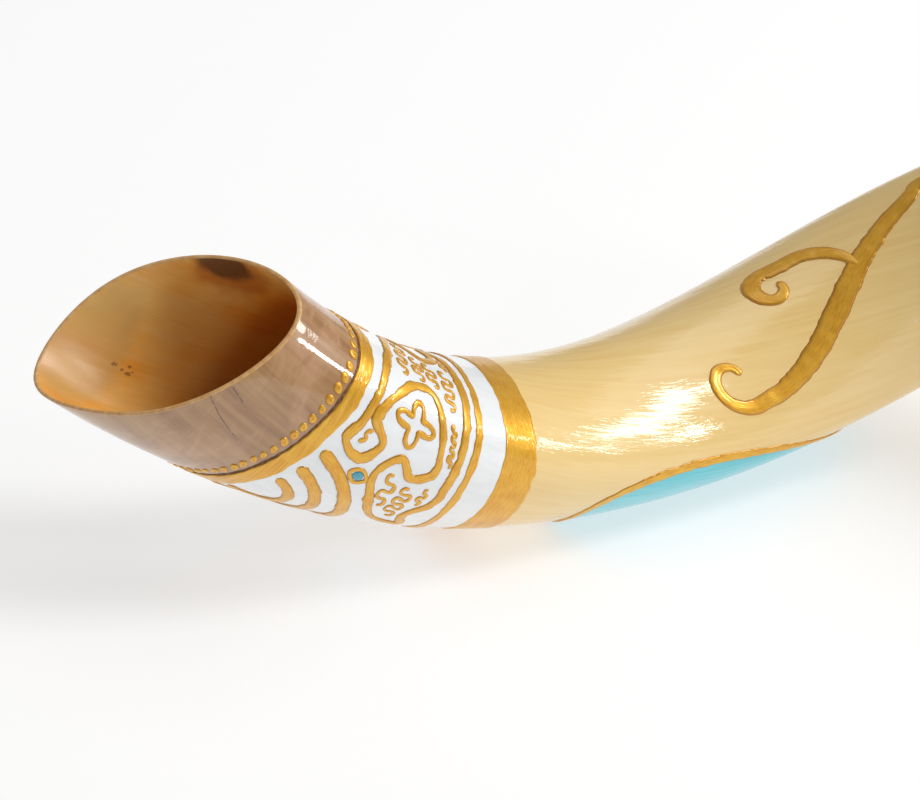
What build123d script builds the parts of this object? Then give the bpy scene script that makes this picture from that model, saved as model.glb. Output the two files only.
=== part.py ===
"""A long spiral antelope-horn shofar with a painted and gilded bell end.

The horn is one hollow piece. Everything else is a layer that the painter laid on it:
ground coats, gold bands, raised gold lines, a row of gold beads and turquoise paint.

Frame: millimetres, +Z up, the horn lying at rest on the XY plane, bell towards -X,
mouthpiece towards +X, origin at the middle of the bottom of the whole object's box.
"""

from build123d import *
import os
from math import cos, pi, radians, sin, sqrt

os.makedirs("parts", exist_ok=True)

# ---------------------------------------------------------------- the horn's coil
COIL_START = Vector(-385.0, 7.1, 98.95)  # foot of the bell's radius on the coil's axis
AXIS_DIP = 3.9  # the coil's axis falls this many degrees towards the tip
TURNS = 1.9
PITCH = 567.0  # advance in one turn at the bell
PITCH_FALL = 0.5  # share of the pitch lost by the tip
COIL_RADIUS = 68.4
COIL_FALL = 0.55  # share of the coil's radius lost by the tip
START_ANGLE = -174.3  # where the bell stands about the coil's axis, degrees

# ---------------------------------------------------------------- the horn's section
BELL_HALF_HEIGHT = 29.8  # across the two flatter sides
BELL_HALF_WIDTH = 41.0  # out to the two soft keels
TIP_SCALE = 0.28
UPPER_KEEL = 0.12  # how far each side is drawn in beside a keel
LOWER_KEEL = 0.23
SECTION_ROLL = -7.3  # turn of the section about the centreline, degrees
RING_JOINTS = (0.0, 140.0, 360.0)  # where the two arcs of every section meet, degrees round
ARC_POINTS = 8  # steps of the outline along each arc
ARC_KNOTS = [i / ARC_POINTS for i in range(ARC_POINTS + 1)]  # the same in every section
TURN_STEP = 0.5  # degrees used for the outline's directions

# ---------------------------------------------------------------- the walls and the two ends
RIM_WALL = 1.4  # the wall is scraped thin at the bell's rim
BELL_WALL = 3.2
THINNED = (0.01, 0.14)  # the shares of the length over which the wall comes up to full
WALL_GROWTH = 2.5  # extra wall at the tip
MOUTH_YAW = 228.0  # which way the bell's flat cut faces, degrees
MOUTH_TILT = 62.4
BELL_OVERRUN = 60.0  # length modelled past the cut, then removed by it
BORE_EXTRA = 5.0  # the bore is modelled this much longer still
CUP_RADIUS = 7.6
THROAT_RADIUS = 4.0
CUP_DEPTH = 12.0
LIP_ROUND = 1.5  # the mouthpiece's outer edge is rounded to this radius
LIP_STEPS = 4
THROAT_LENGTH = 8.0
BORE_STOP = 0.016  # the tapered bore ends this share short of the tip, inside the throat

# ---------------------------------------------------------------- the painted layers
GROUND = 0.3  # thickness of the white and cream coats
BAND = 0.45  # thickness of the gold bands
RAISED = 0.6  # height of a raised line over its ground
TOP_SHARE = 0.6  # width of a raised line's top, as a share of its foot
SETTLE = 0.1  # a raised line's flat foot clears the crown of its ground by this much
CLOSING_SHARE = 0.997  # a closed line stops this far round, just short of its start
FRONT_BAND = (38.0, 43.3)  # distances along the centreline from the mouth's centre
FRONT_TILT = 14.9  # the front band leans towards the upper keel, degrees
FRONT_LEAN = 10.4  # which carries it this much further along at that keel
OUTLINE_WIDTH = 0.7
REAR_BAND = (106.3, 118.5)
TIP_BAND = (903.0, 912.0)
RING_LINE = (94.8, 97.4)

# ---------------------------------------------------------------- the ornament
# Places on the surface are (distance from the mouth, degrees round), and small shapes are
# drawn in millimetres about such a place: x towards the tip, y back towards zero degrees.
REPEATS = (0.0, 199.0)  # the band's frame is painted twice round the horn
GIRTH = 0.58  # millimetres of girth in one degree, near the bell
FOOT_GAP = 0.02  # under the flat foot of a drop of paint
BEAD_COUNT = 54
BEAD_DISTANCE = 35.3
BEAD_SIZE = (1.55, 1.15, 0.6)
ARCH_DISTANCE = 45.0
ARCH_GROUPS = ((192.0, 3), (375.0, 2))  # where each group stands, and how many arches it has
ARCH_LEG = 15.0  # the straight legs reach this far back, less what the front band covers
ARCH_GAP = 2.5  # distance between the places along a leg
ARCH_STEPS = 24
ARCHES = ((9.0, 4.4), (16.8, 4.7), (25.5, 5.0))  # radius and width of each arch
FRAME_WIDTH = 2.7
FRAME_STEPS = 84
FRAME_OUTLINE = (
    (54, 136), (61, 141), (65, 127), (60, 117), (62, 103), (66, 90), (71, 79), (78, 78),
    (82, 95), (84, 113), (85, 128), (79, 137), (73, 129), (68, 143), (71, 157), (78, 174),
    (88, 176), (86, 163), (90.5, 148), (91.2, 128), (91.2, 108), (91.2, 88), (91.2, 68), (91, 50),
    (90, 32), (84, 25), (84, 40), (77, 45), (69, 28), (64, 42), (61, 64), (59, 80), (58, 100), (56, 122),
)
STAR_CENTRE = (72.8, 106.0)
STAR_REACH = (4.9, 2.1)  # middle radius, and how far the four points swing out and in
STAR_TALL = 1.25  # the star is this much taller round the horn than along it
STAR_STEPS = 49
STAR_WIDTH = 1.3
CURLED_LINES = (  # start, end, number of waves and height of each curled line in the frame
    ((57.6, 132), (60.6, 125), 1, 0.9), ((86.9, 94), (88.2, 120), 4, 0.7), ((66, 74), (69, 42), 3, 1.4),
    ((73, 71), (74, 52), 2, 1.5), ((79, 70), (79, 52), 2, 1.4), ((84.6, 82), (85.6, 52), 3, 1.4),
    ((87.3, 47), (87.6, 37), 2, 0.7), ((74, 140), (75.5, 162), 2, 1.3), ((81, 144), (81, 168), 3, 1.5),
    ((86.5, 140), (85.8, 152), 2, 0.8),
)
CURL_WIDTH = 0.9
CURL_STEPS = 8  # places along one wave
JEWEL = (64.0, 150.0)
JEWEL_SIZE = (1.5, 1.1, 0.5)
DIAMOND_SIZE = (3.4, 2.3)  # half its spread round the horn and along it
DIAMOND_WIDTH = 0.8
PANEL_CENTRE = (193.0, 160.0)
PANEL_SIZE = (53.0, 76.0)  # half length, and half spread in degrees
PANEL_BORDER = 3.0
PANEL_COAT = 0.25
PANEL_GAP = 0.8  # the turquoise stops this far inside the border
PANEL_SECTIONS = 9
PANEL_REACH = 82.0  # the first and last section, degrees along the oval's end
BORDER_STEPS = 72
SCROLLS = ((205.0, 32.0, 1.0), (335.0, 30.0, 0.86), (450.0, 28.0, 0.74))  # place and scale
SCROLL_GIRTH = 0.6
SCROLL_WIDTH = (2.6, 6.6)  # at the ends and in the middle of a stroke
SCROLL_GAP = 3.2  # distance between the places along a stroke
SCROLL_STEM = ((19, -5), (36, 6), (52, 20), (70, 36), (88, 50))
TENDRIL_STEM = ((63, 29), (57, 36), (46, 41))
CURL_POINTS = 9

# ---------------------------------------------------------------- frame of the coil
ALONG = Vector(cos(radians(AXIS_DIP)), 0, -sin(radians(AXIS_DIP)))
SIDE = Vector(0, 1, 0)
ABOVE = Vector(sin(radians(AXIS_DIP)), 0, cos(radians(AXIS_DIP)))
STEP = 1e-4  # share of the horn's length used for directions
LONG_SECTIONS = 36  # sections along the whole horn
SECTION_GAP = 28.0  # millimetres between the sections of a coat of paint
RING_MARGIN = 14.0  # a coat is modelled this much longer, then cut


def radial(u):
    """Unit vector from the coil's axis to the centreline, at share u of the horn."""
    angle = radians(START_ANGLE) + 2 * pi * TURNS * u
    return SIDE * cos(angle) + ABOVE * sin(angle)


def centre(u):
    """A point of the centreline: u is 0 at the mouth's centre and 1 at the mouthpiece."""
    advance = TURNS * PITCH * (u - PITCH_FALL * u * u / 2)
    return COIL_START + ALONG * advance + radial(u) * (COIL_RADIUS * (1 - COIL_FALL * u))


def section_plane(u):
    """Plane square to the centreline: its x points to the coil's axis, its y to the upper keel."""
    forward = (centre(u + STEP) - centre(u - STEP)).normalized()
    inward = radial(u) * -1
    inward = (inward - forward * inward.dot(forward)).normalized()
    roll = radians(SECTION_ROLL)
    x_dir = inward * cos(roll) + forward.cross(inward) * sin(roll)
    return Plane(origin=centre(u), x_dir=x_dir, z_dir=forward)


def half_sizes(u):
    """Half height and half width of the section, which grows round towards the tip."""
    scale = 1 - u + TIP_SCALE * u * u
    height = BELL_HALF_HEIGHT * scale
    width = BELL_HALF_WIDTH * scale
    share = max(u, 0) ** 2
    mean = (height + width) / 2
    return height + (mean - height) * share, width + (mean - width) * share


def wall(u):
    """The horn's thickness: thin at the rim, then full, then growing towards the tip."""
    begin, end = THINNED
    share = min(max((u - begin) / (end - begin), 0), 1)
    share = share * share * (3 - 2 * share)
    return RIM_WALL + (BELL_WALL - RIM_WALL) * share + WALL_GROWTH * max(u, 0) ** 3


def ring_point(u, degrees_round, lift):
    """A point of the section's outline, raised by lift, in the section's own plane."""
    angle = radians(degrees_round)
    height, width = half_sizes(u)
    keel = UPPER_KEEL if sin(angle) > 0 else LOWER_KEEL
    drawn_in = 1 - keel * sin(angle) ** 2
    return (height + lift) * cos(angle) * drawn_in, (width + lift) * sin(angle)


def surface_point(u, degrees_round, lift=0.0):
    x, y = ring_point(u, degrees_round, lift)
    return section_plane(u).from_local_coords(Vector(x, y, 0))


# Distance along the centreline, found once by walking it.
WALK = 0.0025
WALKED = [(-0.1, 0.0)]
while WALKED[-1][0] < 1.0:
    here = WALKED[-1][0]
    stride = (centre(here + WALK) - centre(here)).length
    WALKED.append((here + WALK, WALKED[-1][1] + stride))
TO_MOUTH = min(WALKED, key=lambda pair: abs(pair[0]))[1]
LENGTH = WALKED[-1][1] - TO_MOUTH


def share_at(distance):
    """The share u of the horn at this distance from the mouth's centre."""
    target = distance + TO_MOUTH
    after = next(i for i, pair in enumerate(WALKED) if pair[1] >= target)
    (u_low, low), (u_high, high) = WALKED[after - 1], WALKED[after]
    return u_low + (u_high - u_low) * (target - low) / (high - low)


# ---------------------------------------------------------------- shared makers
def ring_face(u, lift, plane=None):
    """The horn's section, raised by lift: splines that meet smoothly at the joints."""
    plane = plane or section_plane(u)
    edges = []
    for first, last in zip(RING_JOINTS, RING_JOINTS[1:]):
        turns = [first + (last - first) * knot for knot in ARC_KNOTS]
        points = [plane.from_local_coords(Vector(*ring_point(u, turn, lift))) for turn in turns]
        speeds = []
        for turn in (first, last):
            after = Vector(*ring_point(u, turn + TURN_STEP, lift))
            before = Vector(*ring_point(u, turn - TURN_STEP, lift))
            speed = (after - before) * ((last - first) / (2 * TURN_STEP))
            speeds.append(plane.x_dir * speed.X + plane.y_dir * speed.Y)
        edges.append(Edge.make_spline(points, speeds, parameters=ARC_KNOTS, scale=False))
    return Face(Wire(edges))


def horn_solid(start, end, lift, sections):
    """The solid inside the horn's surface between two shares; lift gives its rise at each."""
    shares = [start + (end - start) * i / (sections - 1) for i in range(sections)]
    with BuildPart() as solid:
        loft([ring_face(u, lift(u)) for u in shares])
    return solid.part


def cut_plane(distance, tilt=0.0):
    """A plane across the horn, leaning towards the upper keel, facing the mouthpiece."""
    square = section_plane(share_at(distance))
    lean = radians(tilt)
    facing = square.z_dir * cos(lean) - square.y_dir * sin(lean)
    return Plane(origin=square.origin, x_dir=square.x_dir, z_dir=facing)


def paint_ring(label, cuts, low, high, tilts=(0.0, 0.0)):
    """A coat of paint all round the horn, between two cuts and two rises over its surface."""
    first = share_at(cuts[0] - RING_MARGIN)
    last = share_at(cuts[1] + RING_MARGIN)
    sections = max(5, round((cuts[1] - cuts[0]) / SECTION_GAP) + 2)
    with BuildPart() as coat:
        add(horn_solid(first, last, lambda u: high, sections))
        add(horn_solid(first, last, lambda u: low, sections), mode=Mode.SUBTRACT)
        split(bisect_by=cut_plane(cuts[0], tilts[0]), keep=Keep.TOP)
        split(bisect_by=cut_plane(cuts[1], tilts[1]), keep=Keep.BOTTOM)
    coat.part.label = label
    return coat.part


def surface_plane(place, heading, lift):
    """Plane across a painted stroke: x to its side, y away from the horn, z along it."""
    distance, turn = place
    u = share_at(distance)
    here = surface_point(u, turn, lift)
    forward = surface_point(u + STEP, turn, lift) - here
    around = surface_point(u, turn + 0.1, lift) - here
    outward = forward.cross(around).normalized()
    if outward.dot(here - centre(u)) < 0:
        outward = outward * -1
    heading = (heading - outward * heading.dot(outward)).normalized()
    return Plane(origin=here, x_dir=outward.cross(heading), z_dir=heading)


def dome_plane(place, toward, lift):
    """Plane lying on the surface: z away from the horn, x in the direction of another place."""
    here = surface_point(share_at(place[0]), place[1])
    there = surface_point(share_at(toward[0]), toward[1])
    across = surface_plane(place, there - here, lift)
    return Plane(origin=across.origin, x_dir=across.z_dir, z_dir=across.y_dir)


def dome(size):
    """An oval drop of paint with a flat foot on the XY plane."""
    with BuildPart() as drop:
        Sphere(1.0, arc_size1=0, align=(Align.CENTER, Align.CENTER, Align.MIN))
        scale(by=size)
    return drop.part


def stroke(path, widths, lift):
    """A raised line of paint through places on the surface, flat-topped with sloping sides."""
    spots = [surface_point(share_at(place[0]), place[1], lift) for place in path]
    with BuildPart() as line:
        for i, place in enumerate(path):
            before = spots[max(i - 1, 0)]
            after = spots[min(i + 1, len(spots) - 1)]
            foot, top = widths[i] / 2, widths[i] * TOP_SHARE / 2
            with BuildSketch(surface_plane(place, after - before, lift + SETTLE)):
                with BuildLine():
                    Polyline((-foot, 0), (foot, 0), (top, RAISED), (-top, RAISED), close=True)
                make_face()
        loft(ruled=True)
    return line.part


def smooth(points, count, closed=False):
    """Places spaced evenly along a smooth curve through the given ones."""
    flat = [(distance, turn * GIRTH) for distance, turn in points]
    curve = Spline(*flat, periodic=closed)
    last = CLOSING_SHARE if closed else 1.0
    marks = [curve @ (last * i / (count - 1)) for i in range(count)]
    return [(mark.X, mark.Y / GIRTH) for mark in marks]


def mixed(first, last, share):
    """A number or a place part of the way from the first to the last."""
    if isinstance(first, tuple):
        return tuple(mixed(a, b, share) for a, b in zip(first, last))
    return first + (last - first) * share


def turned(places, repeat):
    """The same places further round the horn."""
    return [(distance, turn + repeat) for distance, turn in places]


def node(label, pieces):
    """Several separate solids of paint as one named piece."""
    with BuildPart() as group:
        for piece in pieces:
            add(piece)
    group.part.label = label
    return group.part


# ---------------------------------------------------------------- horn
def lip_face(climb):
    """The section of the mouthpiece's rounded outer edge, climb radians up its arc."""
    plane = section_plane(1.0).offset(LIP_ROUND * sin(climb))
    return ring_face(1.0, LIP_ROUND * (cos(climb) - 1), plane)


def make_horn():
    """The hollow horn: flat oblique mouth, carved cup and throat at the tip."""
    start = share_at(-BELL_OVERRUN)
    bore_start = share_at(-BELL_OVERRUN - BORE_EXTRA)
    yaw, tilt = radians(MOUTH_YAW), radians(MOUTH_TILT)
    facing = Vector(cos(tilt) * cos(yaw), cos(tilt) * sin(yaw), sin(tilt))
    mouth = Plane(origin=centre(0), z_dir=facing)
    lip = section_plane(1.0).offset(LIP_ROUND)
    cup_floor = lip.offset(-CUP_DEPTH)
    throat_end = lip.offset(-CUP_DEPTH - THROAT_LENGTH)
    climbs = [radians(90 * i / LIP_STEPS) for i in range(LIP_STEPS + 1)]
    with BuildPart() as horn:
        add(horn_solid(start, 1.0, lambda u: 0.0, LONG_SECTIONS))
        loft([lip_face(climb) for climb in climbs], ruled=True)
        add(horn_solid(bore_start, 1 - BORE_STOP, lambda u: -wall(u), LONG_SECTIONS), mode=Mode.SUBTRACT)
        with BuildSketch(lip):
            Circle(CUP_RADIUS)
        with BuildSketch(cup_floor):
            Circle(THROAT_RADIUS)
        loft(mode=Mode.SUBTRACT)
        with BuildSketch(cup_floor):
            Circle(THROAT_RADIUS)
        with BuildSketch(throat_end):
            Circle(THROAT_RADIUS)
        loft(mode=Mode.SUBTRACT)
        split(bisect_by=mouth, keep=Keep.BOTTOM)
    horn.part.label = "horn"
    return horn.part


# ---------------------------------------------------------------- ornament
def make_beads():
    """A row of gold drops, evenly spaced along the front band's edge."""
    ring = [(BEAD_DISTANCE + FRONT_LEAN * sin(radians(turn)), turn) for turn in range(361)]
    spots = [surface_point(share_at(place[0]), place[1]) for place in ring]
    travelled = [0.0]
    for before, after in zip(spots, spots[1:]):
        travelled.append(travelled[-1] + (after - before).length)
    places = []
    for i in range(BEAD_COUNT):
        target = travelled[-1] * i / BEAD_COUNT
        turn = next(turn for turn in range(360) if travelled[turn + 1] > target)
        share = (target - travelled[turn]) / (travelled[turn + 1] - travelled[turn])
        places.append((mixed(ring[turn], ring[turn + 1], share), ring[turn + 1]))
    drop = dome(BEAD_SIZE)
    with BuildPart() as beads:
        for place, toward in places:
            with Locations(dome_plane(place, (toward[0], place[1] + 1), FOOT_GAP)):
                add(drop)
    beads.part.label = "gold_beads"
    return beads.part


def arch_path(middle, radius):
    """An arch that opens to the front band, its two legs ending just short of it."""
    leg = [-ARCH_LEG + ARCH_GAP * i for i in range(round(ARCH_LEG / ARCH_GAP))]
    swings = [radians(-90 + 180 * i / ARCH_STEPS) for i in range(ARCH_STEPS + 1)]
    flat = [(x, -radius) for x in leg]
    flat += [(radius * cos(swing), radius * sin(swing)) for swing in swings]
    flat += [(x, radius) for x in reversed(leg)]
    path = [(ARCH_DISTANCE + x, middle + y / GIRTH) for x, y in flat]
    clear = FRONT_BAND[1] + ARCH_GAP
    return [place for place in path if place[0] > clear + FRONT_LEAN * sin(radians(place[1]))]


def make_arches():
    pieces = []
    for middle, count in ARCH_GROUPS:
        for radius, width in ARCHES[:count]:
            path = arch_path(middle, radius)
            pieces.append(stroke(path, [width] * len(path), GROUND))
    return node("gold_arches", pieces)


def make_frames():
    """The broad closed outline of each ornamental field."""
    pieces = []
    for repeat in REPEATS:
        path = smooth(turned(FRAME_OUTLINE, repeat), FRAME_STEPS, closed=True)
        pieces.append(stroke(path, [FRAME_WIDTH] * len(path), GROUND))
    return node("gold_frames", pieces)


def make_stars():
    """The outline of a soft four-pointed star inside each frame."""
    pieces = []
    mean, swing = STAR_REACH
    for repeat in REPEATS:
        path = []
        for i in range(STAR_STEPS):
            angle = 2 * pi * CLOSING_SHARE * i / (STAR_STEPS - 1)
            radius = mean + swing * cos(4 * angle)
            across = radius * sin(angle) * STAR_TALL / GIRTH
            path.append((STAR_CENTRE[0] + radius * cos(angle), STAR_CENTRE[1] + across + repeat))
        pieces.append(stroke(path, [STAR_WIDTH] * len(path), GROUND))
    return node("gold_stars", pieces)


def curled_path(start, end, waves, height):
    """Places along a line that waves from side to side."""
    steps = waves * CURL_STEPS
    run, rise = end[0] - start[0], (end[1] - start[1]) * GIRTH
    reach = sqrt(run * run + rise * rise)
    path = []
    for i in range(steps + 1):
        sway = height * sin(2 * pi * waves * i / steps)
        x = run * i / steps - sway * rise / reach
        y = rise * i / steps + sway * run / reach
        path.append((start[0] + x, start[1] + y / GIRTH))
    return path


def make_curled_lines():
    pieces = []
    for repeat in REPEATS:
        for line in CURLED_LINES:
            path = turned(curled_path(*line), repeat)
            pieces.append(stroke(path, [CURL_WIDTH] * len(path), GROUND))
    return node("curled_lines", pieces)


def make_jewels():
    """A drop of turquoise paint beside each frame."""
    drop = dome(JEWEL_SIZE)
    with BuildPart() as jewels:
        for place in [(JEWEL[0], JEWEL[1] + repeat) for repeat in REPEATS]:
            with Locations(dome_plane(place, (place[0], place[1] + 1), GROUND + FOOT_GAP)):
                add(drop)
    jewels.part.label = "turquoise_jewels"
    return jewels.part


def make_diamonds():
    """A thin gold diamond round each drop of turquoise."""
    pieces = []
    around, along = DIAMOND_SIZE
    for repeat in REPEATS:
        with BuildPart() as diamond:
            for side_x, side_y in ((1, 1), (1, -1), (-1, 1), (-1, -1)):
                tip = (JEWEL[0] + side_x * along, JEWEL[1] + repeat)
                corner = (JEWEL[0], JEWEL[1] + repeat + side_y * around / GIRTH)
                path = [mixed(tip, corner, share) for share in (0.0, 0.5, 1.0)]
                add(stroke(path, [DIAMOND_WIDTH] * len(path), GROUND))
        pieces.append(diamond.part)
    return node("gold_diamonds", pieces)


# ---------------------------------------------------------------- panel and scrolls on the cream
def make_panel():
    """The oval field of turquoise, thinner than its gold border."""
    low, high = GROUND, GROUND + PANEL_COAT
    inset = PANEL_BORDER / 2 + PANEL_GAP
    half_length = PANEL_SIZE[0] - inset
    half_spread = PANEL_SIZE[1] - inset / GIRTH
    with BuildPart() as panel:
        for i in range(PANEL_SECTIONS):
            swing = radians(PANEL_REACH * (2 * i / (PANEL_SECTIONS - 1) - 1))
            u = share_at(PANEL_CENTRE[0] + half_length * sin(swing))
            spread = half_spread * cos(swing)
            turns = [PANEL_CENTRE[1] + spread * (2 * knot - 1) for knot in ARC_KNOTS]
            with BuildSketch(section_plane(u)):
                with BuildLine():
                    foot = Spline(*[ring_point(u, turn, low) for turn in turns])
                    face = Spline(*[ring_point(u, turn, high) for turn in turns])
                    Line(foot @ 0, face @ 0)
                    Line(foot @ 1, face @ 1)
                make_face()
        loft()
    panel.part.label = "turquoise_panel"
    return panel.part


def make_panel_border():
    path = []
    for i in range(BORDER_STEPS):
        swing = 2 * pi * CLOSING_SHARE * i / (BORDER_STEPS - 1)
        distance = PANEL_CENTRE[0] + PANEL_SIZE[0] * cos(swing)
        path.append((distance, PANEL_CENTRE[1] + PANEL_SIZE[1] * sin(swing)))
    return node("panel_border", [stroke(path, [PANEL_BORDER] * len(path), GROUND)])


def curl(middle, radii, start, sweep):
    """Points of a spiral, in the flat: it sweeps from a start angle, in degrees."""
    points = []
    for i in range(CURL_POINTS + 1):
        share = i / CURL_POINTS
        angle = radians(start + sweep * share)
        radius = mixed(radii[0], radii[1], share)
        points.append((middle[0] + radius * cos(angle), middle[1] + radius * sin(angle)))
    return points


def brushed(flat, place, size):
    """A swelling brush stroke through flat points, laid on the horn at a place."""
    curve = Spline(*flat)
    count = round(curve.length / SCROLL_GAP)
    marks = [curve @ (i / count) for i in range(count + 1)]
    path = [(place[0] + mark.X * size, place[1] - mark.Y * size / SCROLL_GIRTH) for mark in marks]
    narrow, wide = SCROLL_WIDTH
    widths = [size * (narrow + (wide - narrow) * sin(pi * i / count)) for i in range(count + 1)]
    return stroke(path, widths, GROUND)


def make_scrolls():
    """Large gold scrolls along the cream body: a double curl with one tendril."""
    pieces = []
    double = curl((0, 0), (3, 11.5), 30, 270) + list(SCROLL_STEM) + curl((99, 48), (10, 3), 135, -300)
    tendril = list(TENDRIL_STEM) + curl((30, 31), (9, 3), 70, 320)
    for distance, turn, size in SCROLLS:
        with BuildPart() as scroll:
            add(brushed(double, (distance, turn), size))
            add(brushed(tendril, (distance, turn), size))
        pieces.append(scroll.part)
    return node("gold_scrolls", pieces)


# ---------------------------------------------------------------- the whole object
tilted = (FRONT_TILT, FRONT_TILT)
outline_cuts = (FRONT_BAND[0] - OUTLINE_WIDTH, FRONT_BAND[0])
finished = [
    make_horn(),
    paint_ring("front_band_outline", outline_cuts, 0.0, GROUND, tilted),
    paint_ring("front_gold_band", FRONT_BAND, 0.0, BAND, tilted),
    paint_ring("white_band", (FRONT_BAND[1], REAR_BAND[0]), 0.0, GROUND, (FRONT_TILT, 0.0)),
    paint_ring("rear_gold_band", REAR_BAND, 0.0, BAND),
    paint_ring("cream_coat", (REAR_BAND[1], TIP_BAND[0]), 0.0, GROUND),
    paint_ring("tip_gold_band", TIP_BAND, 0.0, BAND),
    paint_ring("ring_line", RING_LINE, GROUND, GROUND + BAND),
    make_beads(),
    make_arches(),
    make_frames(),
    make_stars(),
    make_curled_lines(),
    make_jewels(),
    make_diamonds(),
    make_panel(),
    make_panel_border(),
    make_scrolls(),
]
for piece in finished:
    export_step(piece, f"parts/{piece.label}.step")
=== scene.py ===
"""A long spiral-horn shofar with a painted and gilded bell end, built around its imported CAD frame.

The horn and every layer of paint on it follow one formula for the horn's surface. A place on
that surface is (distance from the mouth in millimetres, degrees round). Sizes here are in
millimetres and become metres when a mesh is made.
"""

import bmesh
import bpy
import numpy as np
from mathutils import Matrix, Vector


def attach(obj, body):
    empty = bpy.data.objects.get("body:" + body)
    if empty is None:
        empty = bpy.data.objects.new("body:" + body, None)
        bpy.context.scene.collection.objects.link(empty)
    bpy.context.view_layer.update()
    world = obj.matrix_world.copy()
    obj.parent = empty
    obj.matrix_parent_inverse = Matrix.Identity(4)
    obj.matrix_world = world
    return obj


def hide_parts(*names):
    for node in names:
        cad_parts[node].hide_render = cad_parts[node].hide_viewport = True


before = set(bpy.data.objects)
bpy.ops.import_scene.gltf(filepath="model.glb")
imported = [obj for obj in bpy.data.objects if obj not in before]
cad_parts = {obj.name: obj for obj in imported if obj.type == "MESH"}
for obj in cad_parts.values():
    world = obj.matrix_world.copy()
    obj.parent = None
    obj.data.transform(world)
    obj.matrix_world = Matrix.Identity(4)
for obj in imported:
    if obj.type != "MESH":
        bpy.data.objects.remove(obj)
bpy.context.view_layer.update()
MM = 0.001

# ---------------------------------------------------------------- the horn's form
COIL_START = np.array([-385.0, 7.1, 98.95])  # on the coil's axis, level with the mouth
AXIS_DIP = np.radians(3.9)
TURNS = 1.9
PITCH = 567.0  # advance in one turn, at the mouth
PITCH_FALL = 0.5  # share of the pitch that is lost by the tip
COIL_RADIUS = 68.4
COIL_FALL = 0.55  # share of the radius that is lost by the tip
START_ANGLE = np.radians(-174.3)
BELL_HALF_HEIGHT = 29.8
BELL_HALF_WIDTH = 41.0
TIP_SCALE = 0.28  # the tip's size as a share of the bell's
UPPER_KEEL = 0.12  # how far the section is drawn in towards each keel
LOWER_KEEL = 0.23
SECTION_ROLL = np.radians(-7.3)
RIM_WALL = 1.4
BELL_WALL = 3.2
THINNED = (0.01, 0.14)  # shares of the horn between which the wall thickens behind the rim
WALL_GROWTH = 2.5  # what the wall gains by the tip
MOUTH_YAW = np.radians(228.0)
MOUTH_TILT = np.radians(62.4)
RIM_ROUND = 0.5
LIP_ROUND = 1.5
CUP_PROFILE = (  # the mouthpiece inside: how far past the lip's edge, and radius
    (0.0, 7.9), (-0.25, 7.45), (-1.5, 7.1), (-4.0, 6.35), (-7.0, 5.35), (-10.0, 4.45), (-12.0, 4.05),
    (-15.0, 4.0), (-20.0, 4.0),
)
THROAT_START = 22.0  # the bore ends this far before the tip

# ---------------------------------------------------------------- how finely it is drawn
ROUND = np.arange(0, 360, 360 / 224)
OUTSIDE_LOOPS = 331
INSIDE_LOOPS = 221
LIP_TURNS = np.radians([18, 36, 54, 72, 90])
RIM_TURNS = np.radians([25, 50, 75, 90])
EDGE_STEPS = (0.0, 0.08, 0.3, 0.6, 1.0)  # shares of a coat's rolled edge
STROKE_STEPS = np.linspace(-1, 1, 11)  # shares of half a stroke's width, from side to side
FOOT_STEPS = (0.98, 0.5, -0.5, -0.98)
DROP_STEPS = (0.97, 0.88, 0.74, 0.56, 0.36, 0.16, 0.02)  # shares of a drop's half size
FOOT = -0.05  # strokes, drops and the panel start this far below the coat they stand on
KNOTS = 4096  # length of a tremor's table
STEP = 0.5  # gap between the places of a drawn line
CURVE_STEPS = 24  # from one given point of a curve to the next, and in one wave
SPIRAL_STEPS = 14
ARC_STEPS = 25
BORDER_STEPS = 900
PANEL_STEPS = np.concatenate([np.linspace(0.01, 0.97, 30), [0.985, 0.995, 1.0]])  # shares of its half size
PANEL_TURNS = np.radians(np.arange(0, 360, 2.5))
RIM_SEARCH = 60.0  # the rim lies within this distance of the mouth's centre, along the horn
HALVINGS = 40

# ---------------------------------------------------------------- the paint
MARK_RADIUS = 35.0  # radius at which the materials' coordinates go round
GROUND = 0.3  # thickness of a ground coat
BAND = 0.55  # and of a gold band
FRONT_BAND = (38.0, 43.3)
FRONT_LEAN = 10.4  # how much further along the front band lies at the upper keel than on average
LEAN_TOP = 88.0
OUTLINE_WIDTH = 0.6
OUTLINE_THICK = 0.16
REAR_BAND = (106.3, 118.5)
TIP_BAND = (903.0, 912.0)
RING_LINE = (94.8, 97.4)
RING_THICK = 0.35
TUCK = 0.8  # how far a ground coat reaches under a gold band
REAR_TUCK = 1.5
OUTLINE_TUCK = 0.4
ROLLED_EDGE = 0.4
COAT_FOOT = -0.06  # a coat starts this far inside what it covers
BRUSH_TURN = 120.0  # length of the brush marks half way round a band
REPEATS = (0.0, 199.0)  # degrees round from the first ornamental field to each
GIRTH = 0.58  # millimetres of ornament in one degree round
BEAD_COUNT = 54
BEAD_DISTANCE = 35.3
BEAD_SIZE = (1.45, 1.6, 0.62)
PANEL_CENTRE = (193.0, 160.0)
PANEL_SIZE = (53.0, 76.0)  # half its length, and the degrees that it reaches each way
PANEL_INSET = (0.4, 0.8)
PANEL_THICK = 0.14
BORDER_WIDTH = 3.2
SCROLLS = ((205.0, 32.0, 1.0), (335.0, 30.0, 0.86), (450.0, 28.0, 0.74))  # place and scale
SCROLL_GIRTH = 0.6
SCROLL_WIDTH = (2.9, 4.4)  # at the ends, and what the middle adds
SEED_SHIFT = 97.0  # keeps the brush marks of two strokes from matching

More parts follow.
